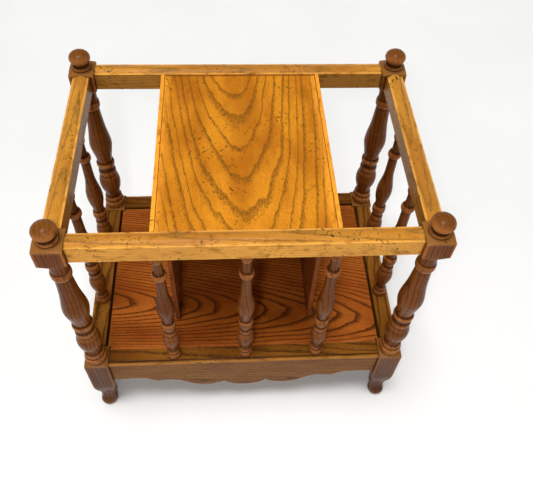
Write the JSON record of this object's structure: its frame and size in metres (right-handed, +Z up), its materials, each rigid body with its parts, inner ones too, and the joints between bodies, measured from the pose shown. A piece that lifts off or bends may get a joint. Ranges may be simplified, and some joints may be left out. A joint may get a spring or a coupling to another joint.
{
  "type": "magazine rack table",
  "caption": "Small oak side table with turned corner posts, spindle sides, a shelf and open magazine pockets either side of a central top.",
  "frame": {"origin": "on the floor under the middle of the rack", "axes": "+X to the right along the width, +Y from front to back, +Z up"},
  "size_m": [0.47, 0.33, 0.4594],
  "materials": {
    "post_oak": "satin lacquer, medium brown stain",
    "spindle_oak": "satin lacquer, medium brown stain",
    "top_rail_oak": "satin lacquer, golden stain, lightly distressed",
    "bottom_rail_oak": "satin lacquer, golden brown stain",
    "shelf_oak": "satin lacquer, red brown stain",
    "divider_oak": "satin lacquer, brown stain",
    "table_oak": "satin lacquer, honey stain, lightly distressed",
    "plain_wood": "bare",
    "steel": "plain"
  },
  "bodies": {
    "root": {"batten_left": "plain_wood", "batten_right": "plain_wood", "batten_screw_left_back": "steel", "batten_screw_left_front": "steel", "batten_screw_right_back": "steel", "batten_screw_right_front": "steel", "bottom_rail_back": "bottom_rail_oak", "bottom_rail_front": "bottom_rail_oak", "bottom_rail_left": "bottom_rail_oak", "bottom_rail_right": "bottom_rail_oak", "divider_left": "divider_oak", "divider_right": "divider_oak", "dowel_bottom_back_left_x1": "plain_wood", "dowel_bottom_back_left_x2": "plain_wood", "dowel_bottom_back_left_y1": "plain_wood", "dowel_bottom_back_left_y2": "plain_wood", "dowel_bottom_back_right_x1": "plain_wood", "dowel_bottom_back_right_x2": "plain_wood", "dowel_bottom_back_right_y1": "plain_wood", "dowel_bottom_back_right_y2": "plain_wood", "dowel_bottom_front_left_x1": "plain_wood", "dowel_bottom_front_left_x2": "plain_wood", "dowel_bottom_front_left_y1": "plain_wood", "dowel_bottom_front_left_y2": "plain_wood", "dowel_bottom_front_right_x1": "plain_wood", "dowel_bottom_front_right_x2": "plain_wood", "dowel_bottom_front_right_y1": "plain_wood", "dowel_bottom_front_right_y2": "plain_wood", "dowel_top_back_left_x": "plain_wood", "dowel_top_back_left_y": "plain_wood", "dowel_top_back_right_x": "plain_wood", "dowel_top_back_right_y": "plain_wood", "dowel_top_front_left_x": "plain_wood", "dowel_top_front_left_y": "plain_wood", "dowel_top_front_right_x": "plain_wood", "dowel_top_front_right_y": "plain_wood", "edge_strip_left": "table_oak", "edge_strip_right": "table_oak", "post_back_left": "post_oak", "post_back_right": "post_oak", "post_front_left": "post_oak", "post_front_right": "post_oak", "shelf": "shelf_oak", "spindle_back_1": "spindle_oak", "spindle_back_2": "spindle_oak", "spindle_back_3": "spindle_oak", "spindle_front_1": "spindle_oak", "spindle_front_2": "spindle_oak", "spindle_front_3": "spindle_oak", "spindle_left_1": "spindle_oak", "spindle_left_2": "spindle_oak", "spindle_right_1": "spindle_oak", "spindle_right_2": "spindle_oak", "table_top": "table_oak", "top_rail_back": "top_rail_oak", "top_rail_front": "top_rail_oak", "top_rail_left": "top_rail_oak", "top_rail_right": "top_rail_oak"}
  },
  "joints": []
}
